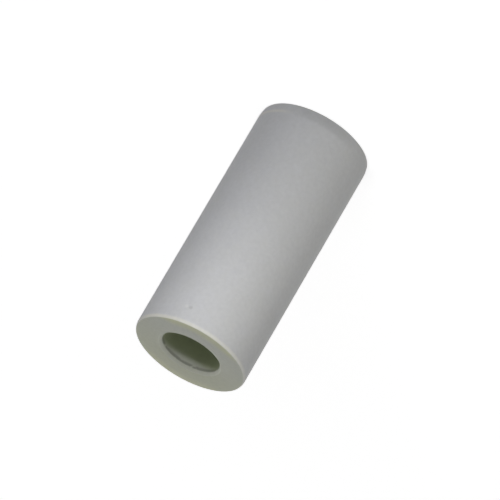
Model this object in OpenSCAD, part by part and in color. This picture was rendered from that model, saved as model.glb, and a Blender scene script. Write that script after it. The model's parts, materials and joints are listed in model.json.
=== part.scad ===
// Round spacer: a plain moulded tube that keeps two panels a fixed distance apart.
// A screw passes straight through the bore, and the two flat ends take the clamping load.
// It stands on its base end: +Z runs along the bore, and the origin is the centre of the base.
// All sizes are in millimetres.

/* [Tube] */
// Outside diameter
outer_d = 8; // [7:0.1:20]
// Bore diameter, which clears an M4 screw
bore_d = 4.2; // [2:0.1:5]
// Distance between the two end faces
length = 18; // [3:0.5:60]

/* [Edges] */
// How far below the top face the wall starts to curve in
top_crown_h = 0.3; // [0.1:0.05:1]
// How far in the wall has come where it meets the top face
top_crown_in = 0.08; // [0.02:0.01:0.1]
// How far above the base face the wall starts to curve in
base_crown_h = 0.6; // [0.1:0.05:1]
// How far in the wall has come where it meets the base face
base_crown_in = 0.08; // [0.02:0.01:0.1]
// Lead-in at both mouths of the bore, at 45 degrees
lead_in = 0.2; // [0.05:0.05:0.4]

/* [Hidden] */

outer_r = outer_d / 2;
bore_r = bore_d / 2;
wall = outer_r - bore_r;
// How far a cut runs past the surface that it opens
past = 0.5;

$fn = 128;

// The sliver outside a shallow arc, which takes the sharpness off a corner at the origin.
// The arc leaves the wall smoothly at that height below the corner, and meets the end face
// crisply at that depth inside the wall. The material lies towards -X and -Y.
module crown_waste(height, depth) {
    crown_r = (height * height + depth * depth) / (2 * depth);
    translate([-crown_r, -height])
        difference() {
            square([crown_r + past, height + past]);
            circle(crown_r);
        }
}

// The triangle that bevels a bore's mouth, for a face at the origin that looks towards +Y.
// The wall lies towards +X, and the bore towards -X.
module mouth_waste() {
    polygon([
        [-past, past],
        [-past, -lead_in - past],
        [lead_in + past, past]
    ]);
}

// Half section of the tube: X is the radius, and Y is the height.
module wall_section() {
    difference() {
        translate([bore_r, 0])
            square([wall, length]);
        translate([outer_r, length])
            crown_waste(top_crown_h, top_crown_in);
        translate([outer_r, 0])
            mirror([0, 1])
                crown_waste(base_crown_h, base_crown_in);
        translate([bore_r, length])
            mouth_waste();
        translate([bore_r, 0])
            mirror([0, 1])
                mouth_waste();
    }
}

// The whole spacer, one solid.
module spacer() {
    color("gainsboro")
        rotate_extrude()
            wall_section();
}

spacer();
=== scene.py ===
# Round spacer: one short, thick-walled tube of natural polyamide, standing on its base end.
# Lengths are in metres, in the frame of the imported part: +Z runs up the bore from the base,
# and the front is towards -Y.
import json
from math import asin, cos, pi, radians, sin

import bpy
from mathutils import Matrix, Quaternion, Vector


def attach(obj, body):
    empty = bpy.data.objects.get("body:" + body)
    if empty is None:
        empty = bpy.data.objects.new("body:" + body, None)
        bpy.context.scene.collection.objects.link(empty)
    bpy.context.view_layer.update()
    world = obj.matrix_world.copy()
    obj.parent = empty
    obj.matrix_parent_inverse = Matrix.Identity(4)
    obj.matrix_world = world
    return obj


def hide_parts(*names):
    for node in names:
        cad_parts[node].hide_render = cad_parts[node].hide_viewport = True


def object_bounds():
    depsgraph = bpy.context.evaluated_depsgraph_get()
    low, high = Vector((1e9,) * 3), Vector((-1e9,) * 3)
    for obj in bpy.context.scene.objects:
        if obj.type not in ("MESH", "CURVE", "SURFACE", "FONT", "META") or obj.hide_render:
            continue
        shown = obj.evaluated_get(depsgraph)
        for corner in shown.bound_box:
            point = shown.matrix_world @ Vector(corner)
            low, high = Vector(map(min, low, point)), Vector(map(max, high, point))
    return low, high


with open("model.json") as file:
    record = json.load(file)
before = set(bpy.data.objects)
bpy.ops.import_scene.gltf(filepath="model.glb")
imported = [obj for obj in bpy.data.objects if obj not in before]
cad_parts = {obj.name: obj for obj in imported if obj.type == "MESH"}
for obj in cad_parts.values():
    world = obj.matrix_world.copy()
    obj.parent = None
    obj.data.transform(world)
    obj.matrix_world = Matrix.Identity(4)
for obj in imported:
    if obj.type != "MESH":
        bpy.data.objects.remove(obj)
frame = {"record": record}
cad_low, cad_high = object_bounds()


# ---- The camera ----
# A long lens, 0.4 m away on the front, looks down on the standing spacer. It is rolled, so
# that the top end points to the lower left of the picture.
centre = (cad_low + cad_high) / 2
camera_distance = 0.413
camera_height = radians(25.81)
camera_roll = radians(-149.66)
towards_camera = Vector((0, -cos(camera_height), sin(camera_height)))
camera = bpy.data.objects.new("camera", bpy.data.cameras.new("camera"))
bpy.context.scene.collection.objects.link(camera)
camera.data.sensor_width = 36.0
camera.data.lens = 453.4
camera.data.clip_start = 0.01
camera.data.clip_end = 10.0
camera.rotation_mode = "QUATERNION"
upright = (-towards_camera).to_track_quat("-Z", "Y")
camera.rotation_quaternion = upright @ Quaternion((0, 0, 1), camera_roll)
off_centre = camera.rotation_quaternion @ Vector((-0.000160, -0.000210, 0))
camera.location = centre + towards_camera * camera_distance + off_centre
bpy.context.scene.camera = camera


# ---- The tube ----
# One injection moulding of unfilled polyamide, in the plastic's own milky colour. The wall
# draws in along a shallow crown at each end, more gently at the base than at the top. A core
# pin forms the bore, with a bevelled lead-in at each mouth.
bore = next(m for m in frame["record"]["mounts"] if m["name"] == "bore")
tube_length = cad_high.z - cad_low.z
outer_r = round((cad_high.x - cad_low.x) / 2, 5)
bore_r = bore["dims"]["r_mm"] / 1000
lead_in = (tube_length - bore["dims"]["length_mm"] / 1000) / 2
# Each crown's height, its depth into the wall, and its steps.
top_crown = (0.0003, 0.00008, 6)
base_crown = (0.0006, 0.00008, 9)
# How far the crisp edges are rounded.
edge_r = 0.00002

bpy.ops.object.select_all(action="DESELECT")
bpy.ops.mesh.primitive_cylinder_add(
    vertices=192,
    radius=outer_r,
    depth=tube_length - top_crown[0] - base_crown[0],
    end_fill_type="NGON",
    location=(0, 0, (tube_length - top_crown[0] + base_crown[0]) / 2),
)
tube = bpy.context.object
tube.name = "moulded_tube"
bpy.ops.object.transform_apply(location=True, rotation=True, scale=True)
bpy.ops.object.mode_set(mode="EDIT")


def pick(kind, wanted):
    """Selects the tube's faces or edges that wanted says yes to, and no others."""
    bpy.ops.mesh.select_mode(type=kind)
    bpy.ops.mesh.select_all(action="DESELECT")
    bpy.ops.object.mode_set(mode="OBJECT")
    parts = tube.data.polygons if kind == "FACE" else tube.data.edges
    for part in parts:
        part.select = wanted(part)
    bpy.ops.object.mode_set(mode="EDIT")


def ends(edge):
    """The places of an edge's two ends."""
    return [tube.data.vertices[i].co for i in edge.vertices]


def on_ring(radius, height):
    """A test for the edges that lie on the circle of that radius at that height."""
    return lambda edge: all(
        abs(p.xy.length - radius) < 1e-5 and abs(p.z - height) < 1e-6 for p in ends(edge)
    )


def draw_out_crown(up, height, depth, steps):
    """Draws an end face out along a shallow arc that leaves the wall smoothly."""
    pick("FACE", lambda face: face.normal.z * up > 0.9)
    arc_r = (height**2 + depth**2) / (2 * depth)
    rise, reach = 0, outer_r
    for step in range(1, steps + 1):
        turn = asin(height / arc_r) * step / steps
        higher, narrower = arc_r * sin(turn), outer_r - arc_r * (1 - cos(turn))
        step_up = {"value": (0, 0, up * (higher - rise))}
        bpy.ops.mesh.extrude_region_move(TRANSFORM_OT_translate=step_up)
        shrink = narrower / reach
        bpy.ops.transform.resize(value=(shrink, shrink, 1), center_override=(0, 0, 0))
        rise, reach = higher, narrower


draw_out_crown(1, *top_crown)
draw_out_crown(-1, *base_crown)
pick("FACE", lambda face: abs(face.normal.z) > 0.9)
bpy.ops.mesh.inset(thickness=outer_r - top_crown[1] - bore_r)
bpy.ops.mesh.bridge_edge_loops()

# The rims are rounded, then the lead-ins are bevelled, and then the lead-ins' own edges.
for ring_r, ring_z, width, steps in (
    (outer_r - top_crown[1], tube_length, edge_r, 2),
    (outer_r - base_crown[1], 0, edge_r, 2),
    (bore_r, tube_length, lead_in, 1),
    (bore_r, 0, lead_in, 1),
    (bore_r + lead_in, tube_length, edge_r, 2),
    (bore_r + lead_in, 0, edge_r, 2),
    (bore_r, tube_length - lead_in, edge_r, 2),
    (bore_r, lead_in, edge_r, 2),
):
    pick("EDGE", on_ring(ring_r, ring_z))
    bpy.ops.mesh.bevel(offset=width, segments=steps, profile=0.5, affect="EDGES")
# The long edges of the wall and the bore are cut, so that no face is long and thin.
pick("EDGE", lambda edge: abs(ends(edge)[0].z - ends(edge)[1].z) > tube_length / 2)
bpy.ops.mesh.subdivide(number_cuts=35)

# One nib, towards +X on the front and just below the top rim, stands a hair proud.
nib_turn = radians(23.5)
nib_below_rim = 0.00120
nib_patch = 0.0004
nib_terraces = (0.00015, 0.00010, 0.00006)
nib_terrace_rise = 0.00001
outward = Vector((sin(nib_turn), -cos(nib_turn), 0))
nib = outward * outer_r + Vector((0, 0, tube_length - nib_below_rim))
pick("FACE", lambda face: (face.center - nib).length < nib_patch)
bpy.ops.mesh.subdivide(number_cuts=3)
for terrace in nib_terraces:
    pick("FACE", lambda face: (face.center - nib).length < terrace)
    bpy.ops.transform.translate(value=outward * nib_terrace_rise)
bpy.ops.mesh.select_all(action="SELECT")
bpy.ops.mesh.remove_doubles(threshold=1e-7)
bpy.ops.mesh.normals_make_consistent(inside=False)
bpy.ops.object.mode_set(mode="OBJECT")
bpy.ops.object.shade_smooth_by_angle(angle=radians(30))


class Wire:
    """One output in a material's node tree. Sums on it add Math nodes."""

    def __init__(self, tree, socket=None):
        self.tree = tree
        self.socket = socket

    def add(self, kind, inputs=None, output=0, **settings):
        """Adds a node of any kind, sets it, feeds its inputs and returns one of its outputs."""
        made = self.tree.nodes.new(kind)
        for name, value in settings.items():
            setattr(made, name, value)
        for name, value in (inputs or {}).items():
            if isinstance(value, Wire):
                self.tree.links.new(value.socket, made.inputs[name])
            else:
                made.inputs[name].default_value = value
        return Wire(self.tree, made.outputs[output])

    def maths(self, operation, first, second):
        """Adds a Math node for two values or links."""
        return self.add("ShaderNodeMath", {0: first, 1: second}, operation=operation)

    def __add__(self, other):
        return self.maths("ADD", self, other)

    __radd__ = __add__

    def __sub__(self, other):
        return self.maths("SUBTRACT", self, other)

    def __rsub__(self, other):
        return self.maths("SUBTRACT", other, self)

    def __mul__(self, other):
        return self.maths("MULTIPLY", self, other)

    __rmul__ = __mul__


# The plastic has a satin skin, and light goes a little way into it.
plastic = bpy.data.materials.new("natural_polyamide")
plastic.use_nodes = True
skin = plastic.node_tree.nodes["Principled BSDF"]
skin.inputs["IOR"].default_value = 1.53
skin.inputs["Specular IOR Level"].default_value = 0.18
skin.inputs["Subsurface Weight"].default_value = 0.3
skin.inputs["Subsurface Radius"].default_value = (1.0, 0.95, 0.7)
skin.inputs["Subsurface Scale"].default_value = 0.0004
place = Wire(plastic.node_tree).add("ShaderNodeTexCoord", output="Object")
flat = place.add("ShaderNodeVectorMath", {0: place, 1: (1, 1, 0)}, operation="MULTIPLY")
radius = place.add("ShaderNodeVectorMath", {0: flat}, "Value", operation="LENGTH")
height = place.add("ShaderNodeSeparateXYZ", {0: place}, "Z")
depth = place.add("ShaderNodeSeparateXYZ", {0: place}, "Y")
across = place.add("ShaderNodeSeparateXYZ", {0: place}, "X")


def fade(value, none_at, full_at):
    """A mask that grows smoothly from 0 to 1 between two values."""
    return value.add(
        "ShaderNodeMapRange",
        {"Value": value, "From Min": none_at, "From Max": full_at},
        interpolation_type="SMOOTHSTEP",
    )


def mixed(mask, colour, other):
    """The first colour where the mask is 0, and the other where it is 1."""
    inputs = {0: mask, 6: colour, 7: other}
    return mask.add("ShaderNodeMix", inputs, 2, data_type="RGBA")


def speckle(size, stretch=1.0):
    """Noise around 0.5, in lumps of that size, which stretch draws out along the bore."""
    scale = (1 / size, 1 / size, 1 / (size * stretch))
    squeezed = place.add("ShaderNodeMapping", {"Vector": place, "Scale": scale})
    inputs = {"Vector": squeezed, "Scale": 1.0, "Detail": 2.0}
    return place.add("ShaderNodeTexNoise", inputs)


# Where the surface is: in the bore, in one of its mouths, or on one of the two ends.
in_bore = fade(radius, bore_r + edge_r, bore_r)
at_top = fade(height, tube_length - edge_r, tube_length)
at_base = fade(height, edge_r, 0)
at_mouth = fade(radius, bore_r + lead_in + edge_r, bore_r + lead_in)
on_ends = at_top.maths("MAXIMUM", at_top + at_base, at_mouth)

# The thick ends and the bore show more of the plastic's own tint than the moulded side does,
# and the ends more towards the back. The side is a shade bluer on +X, and greener on -X. The
# lead-ins and the bore's mouths are painted paler as painted light, and the bore below them is
# painted darker as painted shade.
blue_side_tone = (0.537, 0.543, 0.561, 1)
green_side_tone = (0.5425, 0.545, 0.536, 1)
front_end_tone = (0.520, 0.534, 0.484, 1)
back_end_tone = (0.528, 0.543, 0.428, 1)
end_rim_tone = (0.580, 0.590, 0.435, 1)
# The next two tones are painted light, and the bore's darker tone after them is painted shade.
lit_lead_in_tone = (0.635, 0.650, 0.567, 1)
lit_mouth_tone = (0.680, 0.694, 0.615, 1)
shaded_bore_tone = (0.488, 0.534, 0.364, 1)
side_tone = mixed(fade(across, -outer_r, outer_r), green_side_tone, blue_side_tone)
end_tone = mixed(fade(depth, -outer_r, outer_r), front_end_tone, back_end_tone)

# The rim of an end is more olive at the front and the back. In the bore, the painted light of
# the mouth reaches less far down towards the sides, and painted shade lies deeper down.
along_rim = fade(radius, 0.0030, 0.0037)
along_rim = along_rim * fade(depth * depth, (0.55 * outer_r) ** 2, (0.80 * outer_r) ** 2)
end_tone = mixed(along_rim, end_tone, end_rim_tone)
from_end = height.maths("MINIMUM", height, tube_length - height)
shade_sooner_at_sides = across * across * 120
into_shade = fade(from_end + shade_sooner_at_sides, 0.00045, 0.00105)
tone = mixed(on_ends, side_tone, end_tone)
tone = mixed(at_mouth, tone, lit_lead_in_tone)
tone = mixed(in_bore, tone, mixed(into_shade, lit_mouth_tone, shaded_bore_tone))

# The wall is painted pale and a little warm along the top rim, as a painted highlight.
rim_highlight_tone = (0.648, 0.643, 0.598, 1)
rim_highlight = fade(height, tube_length - 0.00030, tube_length - 0.00010) * (1 - on_ends)
tone = mixed(rim_highlight, tone, rim_highlight_tone)

# The plastic is faintly cloudy and mottled. A band of painted shade runs round the base on the
# front and the back, and fades out towards the sides. The bore is darker in patches just below
# where the top lead-in ends.
cloud = speckle(0.0030) * 0.04 + speckle(0.00026) * 0.14 + 0.91
base_band_shade = fade(height, 0.00098, 0.00060)
base_band_shade = base_band_shade * fade(depth * depth, (0.72 * outer_r) ** 2, outer_r**2) * (1 - on_ends)
lead_in_end = tube_length - lead_in
by_lead_in_end = fade(height, lead_in_end - 0.00028, lead_in_end - 0.00010)
# The bore is darker in patches just below the top lead-in's end.
darker_below_lead_in = by_lead_in_end * in_bore * fade(speckle(0.0004), 0.36, 0.54)
shade = cloud * (1 - base_band_shade * 0.14) * (1 - darker_below_lead_in * 0.35)
tone = tone.add("ShaderNodeVectorMath", {0: tone, 3: shade}, operation="SCALE")

# A faint painted highlight runs round the +X side, just above the base's crown.
crown_highlight_tone = (0.670, 0.655, 0.610, 1)
crown_highlight = fade(height, 0.00050, 0.00070) * fade(height, 0.00090, 0.00070)
crown_highlight = crown_highlight * fade(across, 0.50 * outer_r, 0.80 * outer_r)
tone = mixed(crown_highlight * 0.75, tone, crown_highlight_tone)

# The nib's flanks are painted: painted shade on its -X side and a painted highlight on the
# other.
along = Vector((cos(nib_turn), sin(nib_turn), 0))
for spot, nib_flank_tone, strength in (
    (nib - along * 0.00014, (0.25, 0.25, 0.24, 1), 0.35),
    (nib + along * 0.00013, (0.68, 0.68, 0.66, 1), 0.45),
):
    inputs = {0: place, 1: spot}
    gap = place.add("ShaderNodeVectorMath", inputs, "Value", operation="DISTANCE")
    tone = mixed(fade(gap, 0.00020, 0.00004) * strength, tone, nib_flank_tone)

# The skin has a fine grain, draw marks along the wall and the bore, and faint rings on the
# top end, and it shines unevenly.
ring_pitch = 0.00021
relief_depth = 0.000002
grain = speckle(0.00012)
draw_marks = speckle(0.00010, stretch=40.0)
rings = radius.add("ShaderNodeMath", {0: radius * (2 * pi / ring_pitch)}, operation="SINE")
relief = grain + draw_marks * (1 - on_ends) * 0.5 + rings * at_top * 0.1
inputs = {"Height": relief, "Strength": 1.0, "Distance": relief_depth}
bump = relief.add("ShaderNodeBump", inputs, "Normal")
roughness = speckle(0.0011) * 0.10 + grain * 0.06 + 0.42
plastic.node_tree.links.new(tone.socket, skin.inputs["Base Color"])
plastic.node_tree.links.new(roughness.socket, skin.inputs["Roughness"])
plastic.node_tree.links.new(bump.socket, skin.inputs["Normal"])
tube.data.materials.clear()
tube.data.materials.append(plastic)

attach(tube, "root")
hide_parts("spacer")


# ---- The bench top ----
# A plain sheet of white paper. It glows a little more where the lamps fall off, so that it
# looks white all over, and near the spacer it still takes a shadow.
bpy.ops.object.select_all(action="DESELECT")
bpy.ops.mesh.primitive_plane_add(size=6.0, location=(0, 0, cad_low.z))
bench = bpy.context.object
bench.name = "bench"


def seen(tree):
    """1 for what the camera sees, straight or in a reflection, and 0 for light on its way."""
    straight = Wire(tree).add("ShaderNodeLightPath", output="Is Camera Ray")
    outputs = straight.socket.node.outputs
    glossy = Wire(tree, outputs["Is Glossy Ray"])
    through = Wire(tree, outputs["Is Transmission Ray"])
    inputs = {0: straight + glossy, 1: through}
    return straight.add("ShaderNodeMath", inputs, operation="ADD", use_clamp=True)


paper_white = 0.6
near_glow = (0.72, 0.72, 0.72, 1)
far_glow = (0.90, 0.90, 0.90, 1)
paper = bpy.data.materials.new("white_paper")
paper.use_nodes = True
sheet = paper.node_tree.nodes["Principled BSDF"]
sheet.inputs["Base Color"].default_value = (paper_white, paper_white, paper_white, 1)
sheet.inputs["Roughness"].default_value = 0.9
sheet.inputs["Specular IOR Level"].default_value = 0.1
on_paper = Wire(paper.node_tree).add("ShaderNodeTexCoord", output="Object")
away = on_paper.add("ShaderNodeVectorMath", {0: on_paper}, "Value", operation="LENGTH")
glow = mixed(fade(away, 0, 0.5), near_glow, far_glow)
inputs = {0: glow, 3: seen(paper.node_tree)}
glow = glow.add("ShaderNodeVectorMath", inputs, operation="SCALE")
paper.node_tree.links.new(glow.socket, sheet.inputs["Emission Color"])
sheet.inputs["Emission Strength"].default_value = 1.0
bench.data.materials.append(paper)


# ---- The light ----
# Soft white light from all round, with a softbox overhead and one on each side at the back.
# In front are a small strip close to the top end, two low softboxes, and one further off and
# higher, which reaches a little way down the bore.
room_light = 0.20
studio = bpy.data.worlds.new("studio")
studio.use_nodes = True
bpy.context.scene.world = studio
air = studio.node_tree.nodes["Background"]
air.inputs["Color"].default_value = (1, 1, 1, 1)
air_level = seen(studio.node_tree) * (1 - room_light) + room_light
studio.node_tree.links.new(air_level.socket, air.inputs["Strength"])

# Each lamp is turned from -Y towards +X, stands out from the axis and up from the floor, and
# aims at a height on the axis. A surface at the spacer that faces it renders at its own
# colour times level.
for name, size, level, turn, out, up, aim in (
    ("overhead", (0.300, 0.3000), 0.153, 0, 0.000, 0.4000, 0.0090),
    ("back_right", (0.300, 0.2000), 0.100, 140, 0.346, 0.2090, 0.0090),
    ("back_left", (0.300, 0.2000), 0.100, -140, 0.346, 0.2090, 0.0090),
    ("strip", (0.009, 0.0024), 0.203, 15, 0.018, 0.0168, 0.0168),
    ("low_middle", (0.036, 0.0100), 0.161, 0, 0.090, 0.0120, 0.0120),
    ("low_left", (0.036, 0.0100), 0.074, -50, 0.090, 0.0120, 0.0120),
    ("front", (0.060, 0.0060), 0.126, 10, 0.100, 0.0345, 0.0345),
):
    lamp = bpy.data.objects.new(name, bpy.data.lights.new(name, "AREA"))
    bpy.context.scene.collection.objects.link(lamp)
    lamp.data.shape = "RECTANGLE"
    lamp.data.size, lamp.data.size_y = size
    lamp.location = (out * sin(radians(turn)), -out * cos(radians(turn)), up)
    lamp.data.energy = level * (pi * (lamp.location - centre).length) ** 2
    lamp.rotation_mode = "QUATERNION"
    lamp.rotation_quaternion = (Vector((0, 0, aim)) - lamp.location).to_track_quat("-Z", "Y")
    lamp.visible_camera = False

bpy.context.scene.view_settings.view_transform = "Standard"
